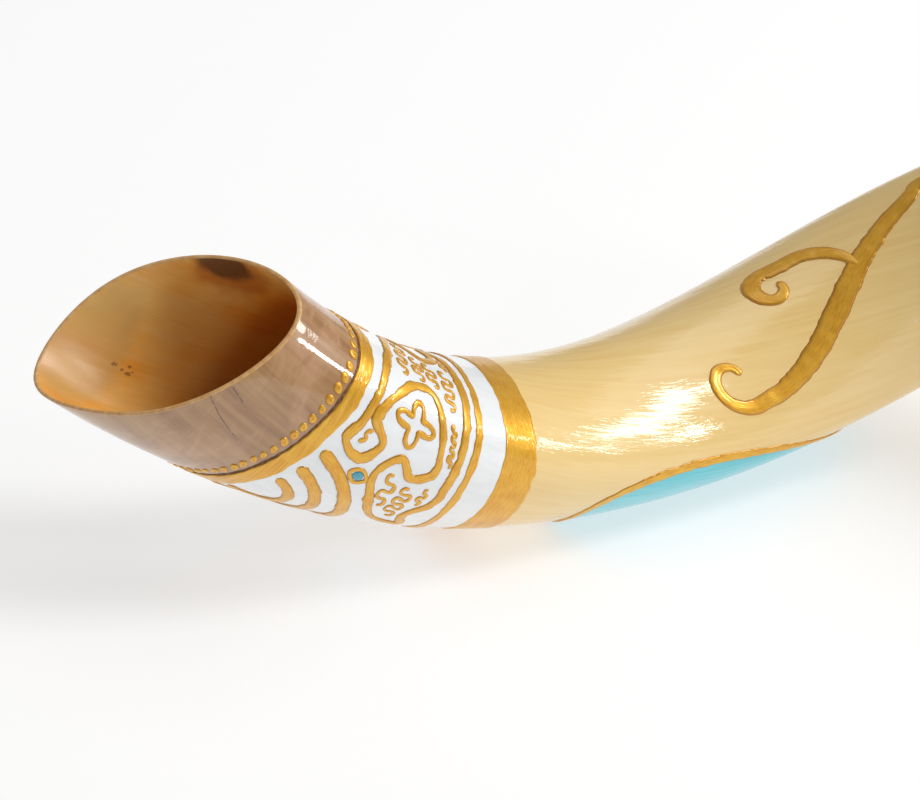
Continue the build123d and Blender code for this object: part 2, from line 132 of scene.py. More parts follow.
# ---------------------------------------------------------------- the camera
CAMERA_TARGET = np.array([-309.22, 18.845, 22.95])
CAMERA_DISTANCE = 1400.0
CAMERA_ELEVATION = np.radians(33.923)
CAMERA_AZIMUTH = np.radians(12.09)
CAMERA_ROLL = np.radians(-1.437)
LENS = 164.35
SENSOR = 36.0

# ---------------------------------------------------------------- the light, in metres and watts
WORLD_LIGHT = 0.25
FLOOR_REACH = 6.0
FLOOR_GREY = 0.5
FLOOR_GLOW = 0.56
LIGHT_DISTANCE = 2.4
REFLECTED_LIGHTS = (  # the place it lights, azimuth and elevation, width and height in degrees, power
    ("window", (-0.236, -0.007, 0.043), (2, 50), (16, 30), 29),
    ("strip", (-0.333, -0.069, 0.095), (-16.5, 26), (6, 10), 6.5),
    ("sill", (-0.262, -0.034, 0.046), (1, 25), (16, 3), 3.5),
)
OVERHEAD_PLACE = (-0.1, 0.5, 1.8)
OVERHEAD_SIZE = (2.6, 1.4)
OVERHEAD_POWER = 9

ALONG = np.array([np.cos(AXIS_DIP), 0.0, -np.sin(AXIS_DIP)])
SIDE = np.array([0.0, 1.0, 0.0])
ABOVE = np.array([np.sin(AXIS_DIP), 0.0, np.cos(AXIS_DIP)])


# ---------------------------------------------------------------- the horn's surface
def unit(vectors):
    return vectors / np.linalg.norm(vectors, axis=-1, keepdims=True)


def run_along(strides):
    """How far along a line each of its points lies, from the strides between them."""
    return np.concatenate([[0.0], np.cumsum(np.linalg.norm(strides, axis=1))])


def radial(u):
    angle = START_ANGLE + 2 * np.pi * TURNS * u
    return np.cos(angle)[..., None] * SIDE + np.sin(angle)[..., None] * ABOVE


def centre(u):
    """The centreline's point at share u of the horn, 0 at the mouth and 1 at the mouthpiece."""
    advance = TURNS * PITCH * (u - PITCH_FALL * u * u / 2)
    reach = COIL_RADIUS * (1 - COIL_FALL * u)
    return COIL_START + advance[..., None] * ALONG + reach[..., None] * radial(u)


def section_axes(u):
    """Unit vectors of the section: towards the coil's axis, to the upper keel, and forward."""
    step = 1e-4
    forward = unit(centre(u + step) - centre(u - step))
    inward = -radial(u)
    inward = unit(inward - (inward * forward).sum(-1, keepdims=True) * forward)
    across = np.cross(forward, inward)
    x = inward * np.cos(SECTION_ROLL) + across * np.sin(SECTION_ROLL)
    y = across * np.cos(SECTION_ROLL) - inward * np.sin(SECTION_ROLL)
    return x, y, forward


SHARES = np.linspace(-0.1, 1.0, 4401)
DISTANCES = run_along(np.diff(centre(SHARES), axis=0))
DISTANCES -= np.interp(0.0, SHARES, DISTANCES)
LENGTH = DISTANCES[-1]
MOUTH_CENTRE = centre(np.array(0.0))
MOUTH_NORMAL = np.array([
    np.cos(MOUTH_TILT) * np.cos(MOUTH_YAW), np.cos(MOUTH_TILT) * np.sin(MOUTH_YAW), np.sin(MOUTH_TILT)])


def half_sizes(u):
    """Half height and half width of the section, which grows round towards the tip."""
    scale = 1 - u + TIP_SCALE * u * u
    height, width = BELL_HALF_HEIGHT * scale, BELL_HALF_WIDTH * scale
    share = np.clip(u, 0, 1) ** 2
    mean = (height + width) / 2
    return height + (mean - height) * share, width + (mean - width) * share


def wall(u):
    """The wall's thickness."""
    share = np.clip((u - THINNED[0]) / (THINNED[1] - THINNED[0]), 0, 1)
    share = share * share * (3 - 2 * share)
    return RIM_WALL + (BELL_WALL - RIM_WALL) * share + WALL_GROWTH * np.clip(u, 0, 1) ** 3


def outline(u, degrees, lift):
    """The section's outline in its own plane, raised by lift."""
    angle = np.radians(degrees)
    height, width = half_sizes(u)
    keel = np.where(np.sin(angle) > 0, UPPER_KEEL, LOWER_KEEL)
    x = (height + lift) * np.cos(angle) * (1 - keel * np.sin(angle) ** 2)
    return x, (width + lift) * np.sin(angle)


def surface(distance, degrees, lift=0.0):
    """Points at these places, raised by lift, in millimetres."""
    distance, degrees = np.broadcast_arrays(np.asarray(distance, float), np.asarray(degrees, float))
    u = np.interp(distance, DISTANCES, SHARES)
    x, y = outline(u, degrees, lift)
    x_axis, y_axis, _ = section_axes(u)
    return centre(u) + x[..., None] * x_axis + y[..., None] * y_axis


def spread(distance, degrees):
    """Millimetres of surface in one millimetre of distance and in one degree round."""
    along = surface(distance + 0.5, degrees) - surface(distance - 0.5, degrees)
    around = surface(distance, degrees + 0.5) - surface(distance, degrees - 0.5)
    return np.linalg.norm(along, axis=-1), np.linalg.norm(around, axis=-1)


def place_marks(distance, degrees):
    """Coordinates for the materials: they run along the horn and join up round it."""
    angle = np.radians(degrees)
    return np.stack([MARK_RADIUS * np.cos(angle), MARK_RADIUS * np.sin(angle), distance + 0 * angle], -1)


def leaning(distance, degrees, lean=FRONT_LEAN):
    """The distance of a line round the horn that lies furthest along at the upper keel."""
    return distance + lean * np.cos(np.radians(degrees - LEAN_TOP))


def ripple(seed, waves, size):
    """A smooth irregular function of degrees that joins up round the horn."""
    rng = np.random.default_rng(seed)
    counts = np.arange(*waves)
    phases = rng.uniform(0, 2 * np.pi, len(counts))
    heights = rng.normal(0, 1, len(counts)) / counts ** 0.5
    heights *= size / np.sqrt((heights ** 2).sum() / 2)
    return lambda degrees: (heights * np.cos(counts * np.radians(degrees)[..., None] + phases)).sum(-1)


def tremor(seed, length, size):
    """A smooth irregular function of a length in millimetres."""
    knots = np.random.default_rng(seed).normal(0, size, KNOTS)

    def at(x):
        x = x / length
        low = np.floor(x).astype(int)
        part = x - low
        part = part * part * (3 - 2 * part)
        return knots[low % KNOTS] * (1 - part) + knots[(low + 1) % KNOTS] * part
    return at


# ---------------------------------------------------------------- meshes
class Builder:
    """Collects grids of points into one mesh, with its marks for the materials."""

    def __init__(self):
        self.points, self.marks, self.strokes, self.faces, self.kinds = [], [], [], [], []
        self.count = 0

    def add(self, points, marks, strokes=None, kinds=None, loop=True):
        """A grid of rings, [rings, points of a ring]; loop joins the last ring to the first."""
        rows, columns = points.shape[:2]
        index = np.arange(rows * columns).reshape(rows, columns) + self.count
        below = np.roll(index, -1, 0) if loop else index[1:]
        above = index if loop else index[:-1]
        faces = np.stack([above, np.roll(above, -1, 1), np.roll(below, -1, 1), below], -1)
        if kinds is None:
            kinds = np.zeros(len(faces), int)
        self.kinds.append(np.repeat(kinds, faces.shape[1]))
        self.faces.append(faces.reshape(-1, 4))
        self.points.append(points.reshape(-1, 3))
        self.marks.append(marks.reshape(-1, 3))
        strokes = np.zeros(points.shape) if strokes is None else strokes
        self.strokes.append(strokes.reshape(-1, 3))
        self.count += rows * columns
        return index

    def cap(self, ring):
        """Closes the end of a stroke with strips from side to side."""
        ring = list(ring)
        faces = []
        while len(ring) >= 4:
            faces.append([ring[0], ring[1], ring[-2], ring[-1]])
            ring = ring[1:-1]
        if len(ring) == 3:
            faces.append([ring[0], ring[1], ring[2], ring[2]])
        self.faces.append(np.array(faces))
        self.kinds.append(np.zeros(len(faces), int))

    def build(self, name, materials, nodes):
        points = np.concatenate(self.points) * MM
        faces = np.concatenate(self.faces)
        mesh = bpy.data.meshes.new(name)
        mesh.from_pydata(points.tolist(), [], faces.tolist())
        mesh.update()
        for label, values in (("spot", self.marks), ("stroke", self.strokes)):
            layer = mesh.attributes.new(label, "FLOAT_VECTOR", "POINT")
            layer.data.foreach_set("vector", np.concatenate(values).astype(np.float32).ravel())
        for material in materials:
            mesh.materials.append(material)
        mesh.polygons.foreach_set("material_index", np.concatenate(self.kinds).astype(np.int32))
        mesh.polygons.foreach_set("use_smooth", np.ones(len(faces), bool))
        tidy(mesh)
        piece = bpy.data.objects.new(name, mesh)
        bpy.context.scene.collection.objects.link(piece)
        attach(piece, "root")
        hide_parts(*nodes)


def tidy(mesh):
    """Merges doubled points, drops empty faces and turns every face outwards."""
    work = bmesh.new()
    work.from_mesh(mesh)
    bmesh.ops.remove_doubles(work, verts=work.verts, dist=1e-7)
    bmesh.ops.dissolve_degenerate(work, edges=work.edges, dist=1e-8)
    bmesh.ops.recalc_face_normals(work, faces=work.faces)
    work.to_mesh(mesh)
    work.free()


# ---------------------------------------------------------------- horn
def bore_lift(distance):
    return -wall(np.interp(distance, DISTANCES, SHARES))


def rim_distance(inside, depth):
    """Where each line along the horn meets the mouth's cut, moved in by depth."""
    low, high = np.full(ROUND.shape, -RIM_SEARCH), np.full(ROUND.shape, RIM_SEARCH)
    for _ in range(HALVINGS):
        middle = (low + high) / 2
        lift = bore_lift(middle) if inside else 0.0
        outside = (surface(middle, ROUND, lift) - MOUTH_CENTRE) @ MOUTH_NORMAL + depth > 0
        low, high = np.where(outside, middle, low), np.where(outside, high, middle)
    return (low + high) / 2


def cup_ring(radius, offset):
    """A round loop square to the tip, offset past the horn's end."""
    end = np.array(1.0)
    x_axis, y_axis, forward = section_axes(end)
    angle = np.radians(ROUND)
    return (centre(end) + offset * forward
            + radius * (np.cos(angle)[:, None] * x_axis + np.sin(angle)[:, None] * y_axis))


def lip_ring(turn):
    """A loop of the mouthpiece's rounded outer edge."""
    end = np.array(1.0)
    x, y = outline(end, ROUND, LIP_ROUND * (np.cos(turn) - 1))
    x_axis, y_axis, forward = section_axes(end)
    return centre(end) + LIP_ROUND * np.sin(turn) * forward + x[:, None] * x_axis + y[:, None] * y_axis


def rim_ring(inside, turn):
    """A loop of the mouth's rounded rim, on its inner or outer edge, with its distances."""
    depth, inset = RIM_ROUND * (1 - np.sin(turn)), RIM_ROUND * (1 - np.cos(turn))
    bore_edge, skin_edge = rim_distance(True, depth), rim_distance(False, depth)
    bore = surface(bore_edge, ROUND, bore_lift(bore_edge))
    skin = surface(skin_edge, ROUND)
    if inside:
        return bore + unit(skin - bore) * inset, bore_edge
    return skin + unit(bore - skin) * inset, skin_edge


def make_horn(skin, rim, bore):
    loops, marks, kinds = [], [], []

    def take(points, distance, kind):
        loops.append(points)
        marks.append(place_marks(distance, ROUND))
        kinds.append(kind)

    outer_rim = rim_distance(False, RIM_ROUND)
    for t in np.linspace(0, 1, OUTSIDE_LOOPS):
        distance = outer_rim * (1 - t) + LENGTH * t
        take(surface(distance, ROUND), distance, 0)
    for turn in LIP_TURNS:
        take(lip_ring(turn), LENGTH + LIP_ROUND * np.sin(turn), 0)
    for offset, radius in CUP_PROFILE:
        take(cup_ring(radius, LIP_ROUND + offset), LENGTH + offset, 2)
    inner_rim = rim_distance(True, RIM_ROUND)
    for t in np.linspace(0, 1, INSIDE_LOOPS):
        distance = (LENGTH - THROAT_START) * (1 - t) + inner_rim * t
        take(surface(distance, ROUND, bore_lift(distance)), distance, 2)
    for turn in RIM_TURNS:
        take(*rim_ring(True, turn), 1)
    for turn in RIM_TURNS[::-1]:
        take(*rim_ring(False, turn), 1)
    builder = Builder()
    builder.add(np.array(loops), np.array(marks), kinds=np.array(kinds))
    builder.build("horn_shell", [skin, rim, bore], ["horn"])


# ---------------------------------------------------------------- coats of paint all round
def coat(builder, front, back, low, high, gap, relief=None):
    """A closed band between two edges, each a function of degrees, with rolled edges."""
    first, last = front(ROUND), back(ROUND)
    wide = (last - first).min()
    edge = min(ROLLED_EDGE, wide / 3)
    middle = max(1, int(wide / gap))
    steps = [(first + edge * share, share) for share in EDGE_STEPS]
    for share in (np.arange(middle) + 1) / (middle + 1):
        steps.append(((first + edge) * (1 - share) + (last - edge) * share, 1.0))
    steps += [(last - edge * share, share) for share in reversed(EDGE_STEPS)]
    loops, marks, strokes = [], [], []
    round_about = BRUSH_TURN * np.sin(np.radians(ROUND) / 2)

    def take(distance, lift, margin):
        loops.append(surface(distance, ROUND, lift))
        marks.append(place_marks(distance, ROUND))
        strokes.append(np.stack([round_about, distance, np.full(len(ROUND), margin)], -1))

    for distance, share in steps:
        lift = low + high * np.sqrt(1 - (1 - share) ** 2)
        if relief is not None:
            lift = lift + relief(distance, ROUND) * share
        take(distance, lift, 1 - share)
    under = steps[::2] if middle > 2 else steps
    for distance, _ in reversed(under):
        take(distance, low + COAT_FOOT, 0.0)
    builder.add(np.array(loops), np.array(marks), strokes=np.array(strokes))


def level(distance, lean=0.0, wave=None):
    """An edge round the horn at a distance, which may lean and waver."""
    def edge(degrees):
        return leaning(distance, degrees, lean) + (wave(degrees) if wave else 0.0)
    return edge


def make_coats(paints):
    front_wave = ripple(3, (3, 60), 0.12)
    brushed = tremor(11, 0.55, 0.05)

    def brush_marks(distance, degrees):
        return brushed(distance + 0.01 * degrees)

    def lay(node, paint, front, back, high, gap, relief=None, low=0.0):
        builder = Builder()
        coat(builder, front, back, low, high, gap, relief)
        builder.build(node + "_paint", [paints[paint]], [node])

    lay("front_band_outline", "dark_line",
        level(FRONT_BAND[0] - OUTLINE_WIDTH, FRONT_LEAN, ripple(4, (5, 90), 0.10)),
        level(FRONT_BAND[0] + OUTLINE_TUCK, FRONT_LEAN, front_wave), high=OUTLINE_THICK, gap=0.5)
    lay("front_gold_band", "gold_paint",
        level(FRONT_BAND[0], FRONT_LEAN, front_wave),
        level(FRONT_BAND[1], FRONT_LEAN, ripple(5, (3, 50), 0.22)), high=BAND, gap=0.6, relief=brush_marks)
    lay("white_band", "white_paint",
        level(FRONT_BAND[1] - TUCK, FRONT_LEAN), level(REAR_BAND[0] + TUCK), high=GROUND, gap=1.5)
    lay("rear_gold_band", "gold_paint",
        level(REAR_BAND[0], wave=ripple(6, (3, 40), 0.14)),
        level(REAR_BAND[1], wave=ripple(7, (3, 40), 0.2)), high=BAND, gap=0.7, relief=brush_marks)
    lay("cream_coat", "cream_paint",
        level(REAR_BAND[1] - REAR_TUCK), level(TIP_BAND[0] + TUCK), high=GROUND, gap=2.6)
    lay("tip_gold_band", "gold_paint",
        level(TIP_BAND[0], wave=ripple(8, (2, 20), 0.2)),
        level(TIP_BAND[1], wave=ripple(9, (2, 20), 0.2)), high=BAND, gap=0.6, relief=brush_marks)
    lay("ring_line", "gold_paint",
        level(RING_LINE[0], wave=ripple(20, (3, 70), 0.16)),
        level(RING_LINE[1], wave=ripple(30, (3, 70), 0.16)), high=RING_THICK, gap=0.5, low=GROUND)


# ---------------------------------------------------------------- brush strokes
SLOW_WAVER = 2.2  # lengths over which a stroke's sides and height waver
QUICK_WAVER = 0.8
HEIGHT_WAVER = 3.0
BRISTLE = 0.5
GROOVE = 0.05  # depth of the bristles' grooves
JOIN = 6.0  # a closed line's end takes its start's width over this length
END_HEIGHT = 0.35  # of an open line, as a share of its height
DOME_POWER = 2.6


def resample(points, closed=False):
    """Evenly spaced points on a smooth curve through the given flat ones."""
    points = np.asarray(points, float)
    if closed:
        padded = np.concatenate([points[-1:], points, points[:2]])
    else:
        padded = np.concatenate([2 * points[:1] - points[1:2], points, 2 * points[-1:] - points[-2:-1]])
    t = np.linspace(0, 1, CURVE_STEPS, endpoint=False)[:, None]
    pieces = []
    for a, b, c, d in zip(padded, padded[1:], padded[2:], padded[3:]):
        pieces.append(0.5 * (2 * b + (c - a) * t + (2 * a - 5 * b + 4 * c - d) * t ** 2
                             + (3 * b - a - 3 * c + d) * t ** 3))
    dense = np.concatenate(pieces + [points[:1] if closed else points[-1:]])
    run = run_along(np.diff(dense, axis=0))
    count = max(6, int(run[-1] / STEP))
    at = np.linspace(0, run[-1], count + 1)
    if closed:
        at = at[:-1]
    return np.stack([np.interp(at, run, dense[:, k]) for k in (0, 1)], -1)


def stroke(builder, path, widths, height=0.5, closed=False, seed=0, rough=0.06):
    """A raised line of paint over places on a ground coat, rounded across and at its ends."""
    scale = np.stack(spread(path[:, 0], path[:, 1]), -1)
    if closed:
        heading = unit((np.roll(path, -1, 0) - np.roll(path, 1, 0)) * scale)
    else:
        heading = unit(np.gradient(path, axis=0) * scale)
    flank = np.stack([-heading[:, 1], heading[:, 0]], -1)
    run = run_along(np.diff(path, axis=0) * scale[1:])

    def waver(number, length, size):
        return tremor(seed * 7 + number, length, size)

    left = 1 + waver(1, SLOW_WAVER, rough)(run) + waver(2, QUICK_WAVER, rough / 2)(run)
    right = 1 + waver(3, SLOW_WAVER, rough)(run) + waver(4, QUICK_WAVER, rough / 2)(run)
    half = widths / 2
    if closed:
        away = np.clip((run[-1] - run) / JOIN, 0, 1)
        left = left[0] * (1 - away) + left * away
        right = right[0] * (1 - away) + right * away
        rounding = np.ones(len(run))
    else:
        near = np.clip(np.minimum(run, run[-1] - run) / np.maximum(half, 0.2), 0.02, 1)
        rounding = np.sqrt(1 - (1 - near) ** 2)
    half = half * rounding
    body = height * (END_HEIGHT + (1 - END_HEIGHT) * rounding) * (1 + waver(5, HEIGHT_WAVER, 0.10)(run))
    bristles = waver(6, BRISTLE, GROOVE)
    points, marks, strokes = [], [], []

    def take(position, rise, margin):
        side = half * (left if position < 0 else right) * position
        place = path + flank * side[:, None] / scale
        points.append(surface(place[:, 0], place[:, 1], GROUND + rise))
        marks.append(place_marks(place[:, 0], place[:, 1]))
        strokes.append(np.stack([run + SEED_SHIFT * seed, side, np.full(len(run), margin)], -1))

    for position in STROKE_STEPS:
        groove = bristles(position * 1.7 + run * 0.02) * (1 - abs(position))
        take(position, body * (1 - abs(position) ** DOME_POWER) ** 0.5 + groove, abs(position))
    for position in FOOT_STEPS:
        take(position, np.full(len(run), FOOT), 1.0)
    grids = [np.swapaxes(np.array(rows), 0, 1) for rows in (points, marks, strokes)]
    index = builder.add(*grids, loop=closed)
    if not closed:
        builder.cap(index[0][::-1])
        builder.cap(index[-1])


def drop(builder, place, size, lift, seed, dimple=0.0):
    """An oval drop of paint: size is half its length, half its spread round, and its height."""
    angles = np.radians(np.arange(0, 360, 15))
    rng = np.random.default_rng(seed)
    wobble = 1 + 0.05 * np.cos(2 * angles + rng.uniform(0, 6)) + 0.04 * np.cos(3 * angles + rng.uniform(0, 6))
    along, around = spread(*place)
    rings = [(DROP_STEPS[-1], FOOT), (1.0, FOOT)]
    rings += [(r, size[2] * np.sqrt(1 - r * r) - dimple * np.exp(-(r / 0.4) ** 2)) for r in DROP_STEPS]
    loops, marks, strokes = [], [], []
    for r, rise in rings:
        distance = place[0] + size[0] * r * wobble * np.cos(angles) / along
        degrees = place[1] + size[1] * r * wobble * np.sin(angles) / around
        loops.append(surface(distance, degrees, lift + rise))
        marks.append(place_marks(distance, degrees))
        strokes.append(np.stack([
            SEED_SHIFT * seed + r * np.cos(angles), r * np.sin(angles), np.full(len(angles), 1 - r)], -1))
    builder.add(np.array(loops), np.array(marks), np.array(strokes))


# ---------------------------------------------------------------- ornament, painted once at each repeat
FRAME_WIDTH = 3.3
FRAME_OUTLINE = (  # places on the horn, in order
    (54, 136), (61, 141), (65, 127), (60, 117), (62, 103), (66, 90), (71, 79), (78, 78),
    (82, 95), (84, 113), (85, 128), (79, 137), (73, 129), (68, 143), (71, 157), (78, 174),
    (88, 176), (86, 163), (90.5, 148), (91.2, 128), (91.2, 108), (91.2, 88), (91.2, 68), (91, 50),
    (90, 32), (84, 25), (84, 40), (77, 45), (69, 28), (64, 42), (61, 64), (59, 80), (58, 100), (56, 122),
)
ARCH_DISTANCE = 45.0
ARCH_GROUPS = ((192.0, 3), (375.0, 2))  # where each group stands, and how many arches it has
ARCHES = ((9.0, 4.4), (16.8, 4.7), (25.5, 5.0))  # radius and width of each arch
ARCH_LEG = np.arange(-15, 0, 2.5)
ARCH_GAP = 1.5  # clear of the front band
STAR_CENTRE = (72.8, 106.0)
STAR_REACH = (4.9, 2.1)  # mean radius, and what a point adds
STAR_TALL = 1.25
STAR_WIDTH = 1.9
JEWEL = (64.0, 150.0)
JEWEL_SIZE = (2.1, 1.8, 0.55)
DIAMOND_SIZE = (2.9, 2.5)
DIAMOND_POINT = 1.35  # the power that turns a round outline into a pointed one
DIAMOND_WIDTH = 1.6
CURL_WIDTH = 1.45
CURL_GROWTH = 1.35  # what the larger curls' swing is multiplied by
CURLED_LINES = (  # from place, to place, waves, and height of a wave
    ((57.6, 132), (60.6, 125), 1, 0.9), ((86.9, 94), (88.2, 120), 4, 0.7), ((66, 74), (69, 42), 3, 1.4),
    ((73, 71), (74, 52), 2, 1.5), ((79, 70), (79, 52), 2, 1.4), ((84.6, 82), (85.6, 52), 3, 1.4),
    ((87.3, 47), (87.6, 37), 2, 0.7), ((74, 140), (75.5, 162), 2, 1.3), ((81, 144), (81, 168), 3, 1.5),
    ((86.5, 140), (85.8, 152), 2, 0.8),
)


def flat_place(place):
    return np.array([place[0], place[1] * GIRTH])


def on_horn(flat, repeat=0.0):
    """Flat millimetres to places: x is distance, y is girth."""
    return np.stack([flat[:, 0], flat[:, 1] / GIRTH + repeat], -1)


def make_frames(gold):
    builder = Builder()
    flat = resample([flat_place(place) for place in FRAME_OUTLINE], closed=True)
    for i, repeat in enumerate(REPEATS):
        width = FRAME_WIDTH + tremor(140 + i, 9, 0.35)(np.arange(len(flat)) * STEP)
        stroke(builder, on_horn(flat, repeat), width, height=0.42, closed=True, seed=40 + i, rough=0.09)
    builder.build("gold_frames_paint", [gold], ["gold_frames"])


def make_arches(gold):
    builder = Builder()
    for middle, count in ARCH_GROUPS:
        for k, (radius, width) in enumerate(ARCHES[:count]):
            swings = np.radians(np.linspace(-90, 90, ARC_STEPS))
            flat = np.concatenate([
                np.stack([ARCH_LEG, 0 * ARCH_LEG - radius], -1),
                np.stack([radius * np.cos(swings), radius * np.sin(swings)], -1),
                np.stack([ARCH_LEG[::-1], 0 * ARCH_LEG + radius], -1)])
            places = on_horn(resample(flat + flat_place((ARCH_DISTANCE, middle))))
            places = places[places[:, 0] > leaning(FRONT_BAND[1] + ARCH_GAP, places[:, 1])]
            stroke(builder, places, np.full(len(places), width), seed=100 + k + int(middle))
    builder.build("gold_arches_paint", [gold], ["gold_arches"])


def make_stars(gold):
    builder = Builder()
    turn = np.radians(np.arange(0, 360, 2.0))
    radius = STAR_REACH[0] + STAR_REACH[1] * np.cos(4 * turn)
    flat = flat_place(STAR_CENTRE) + np.stack([radius * np.cos(turn), radius * np.sin(turn) * STAR_TALL], -1)
    for i, repeat in enumerate(REPEATS):
        stroke(builder, on_horn(flat, repeat), np.full(len(flat), STAR_WIDTH), height=0.4, closed=True,
               seed=50 + i, rough=0.16)
    builder.build("gold_stars_paint", [gold], ["gold_stars"])


def curled_line(start, end, waves, height):
    """Flat points of a wavy line that leans back at each wave."""
    t = np.linspace(0, 1, waves * CURVE_STEPS)[:, None]
    begin = flat_place(start)
    run = flat_place(end) - begin
    forward = run / np.linalg.norm(run)
    sideways = np.array([-forward[1], forward[0]])
    swing = (CURL_GROWTH if height > 1.2 else 1.0) * height * np.sin(2 * np.pi * waves * t)
    return begin + t * run + swing * sideways - 0.5 * height * np.sin(4 * np.pi * waves * t) * forward


def make_curls(gold):
    builder = Builder()
    for i, repeat in enumerate(REPEATS):
        for k, line in enumerate(CURLED_LINES):
            flat = curled_line(*line)
            stroke(builder, on_horn(flat, repeat), np.full(len(flat), CURL_WIDTH), height=0.32,
                   seed=60 + 12 * i + k, rough=0.2)
    builder.build("curled_lines_paint", [gold], ["curled_lines"])


def make_diamonds(gold):
    builder = Builder()
    turn = np.radians(np.arange(3, 360, 6))
    corners = np.stack([np.cos(turn), np.sin(turn)], -1)
    flat = flat_place(JEWEL) + DIAMOND_SIZE * np.sign(corners) * np.abs(corners) ** DIAMOND_POINT
    for i, repeat in enumerate(REPEATS):
        stroke(builder, on_horn(flat, repeat), np.full(len(flat), DIAMOND_WIDTH), height=0.35, closed=True,
               seed=80 + i)
    builder.build("gold_diamonds_paint", [gold], ["gold_diamonds"])


def make_jewels(paint):
    builder = Builder()
    for i, repeat in enumerate(REPEATS):
        drop(builder, (JEWEL[0], JEWEL[1] + repeat), JEWEL_SIZE, GROUND, seed=90 + i)
    builder.build("turquoise_jewels_paint", [paint], ["turquoise_jewels"])


def make_beads(gold):
    """The row of gold drops on the bare horn, at even gaps but for a small random slip."""
    builder = Builder()
    turns = np.arange(0, 360, 0.25)
    run = run_along(np.diff(surface(leaning(BEAD_DISTANCE, turns), turns), axis=0))
    rng = np.random.default_rng(12)
    for i in range(BEAD_COUNT):
        turn = np.interp(run[-1] * (i + rng.uniform(-0.06, 0.06)) / BEAD_COUNT, run, turns)
        distance = leaning(BEAD_DISTANCE, turn) + rng.uniform(-0.15, 0.15)
        size = np.array(BEAD_SIZE) * rng.uniform(0.88, 1.1)
        drop(builder, (distance, turn), size, 0.0, seed=200 + i, dimple=0.12)
    builder.build("gold_beads_paint", [gold], ["gold_beads"])


# ---------------------------------------------------------------- panel and scrolls on the cream
def make_panel(paint):
    face = [(r, PANEL_THICK) for r in PANEL_STEPS]
    foot = [(r, FOOT) for r in PANEL_STEPS[::-2]]
    half_length, half_spread = np.subtract(PANEL_SIZE, PANEL_INSET)
    loops, marks = [], []
    for r, rise in face + foot:
        distance = PANEL_CENTRE[0] + half_length * r * np.cos(PANEL_TURNS)
        degrees = PANEL_CENTRE[1] + half_spread * r * np.sin(PANEL_TURNS)
        loops.append(surface(distance, degrees, GROUND + rise))
        marks.append(place_marks(distance, degrees))
    builder = Builder()
    builder.add(np.array(loops), np.array(marks))
    builder.build("turquoise_panel_paint", [paint], ["turquoise_panel"])


def make_panel_border(gold):
    turn = np.linspace(0, 2 * np.pi, BORDER_STEPS, endpoint=False)
    places = np.array(PANEL_CENTRE) + PANEL_SIZE * np.stack([np.cos(turn), np.sin(turn)], -1)
    builder = Builder()
    stroke(builder, places, np.full(len(places), BORDER_WIDTH), height=0.4, closed=True, seed=300,
           rough=0.08)
    builder.build("panel_border_paint", [gold], ["panel_border"])


def curl(middle, radii, start, sweep):
    """Flat points of a spiral between two radii, over a sweep in degrees."""
    share = np.linspace(0, 1, SPIRAL_STEPS)
    angle = np.radians(start + sweep * share)
    radius = radii[0] + (radii[1] - radii[0]) * share
    return np.stack([middle[0] + radius * np.cos(angle), middle[1] + radius * np.sin(angle)], -1)


def make_scrolls(gold):
    double = np.concatenate([
        curl((0, 0), (3, 11.5), 30, 270), [(19, -5), (36, 6), (52, 20), (70, 36), (88, 50)],
        curl((99, 48), (10, 3), 135, -300)])
    tendril = np.concatenate([[(63, 29), (57, 36), (46, 41)], curl((30, 31), (9, 3), 70, 320)])
    ends, middle = SCROLL_WIDTH
    builder = Builder()
    for i, (distance, degrees, size) in enumerate(SCROLLS):
        for k, shape in enumerate((double, tendril)):
            flat = resample(shape)
            width = size * (ends + middle * np.sin(np.pi * np.linspace(0, 1, len(flat))))
            places = np.stack([distance + flat[:, 0] * size, degrees - flat[:, 1] * size / SCROLL_GIRTH], -1)
            stroke(builder, places, width, height=0.55, seed=320 + 2 * i + k, rough=0.035)
    builder.build("gold_scrolls_paint", [gold], ["gold_scrolls"])


# ---------------------------------------------------------------- materials
LACQUER_IOR = 1.7


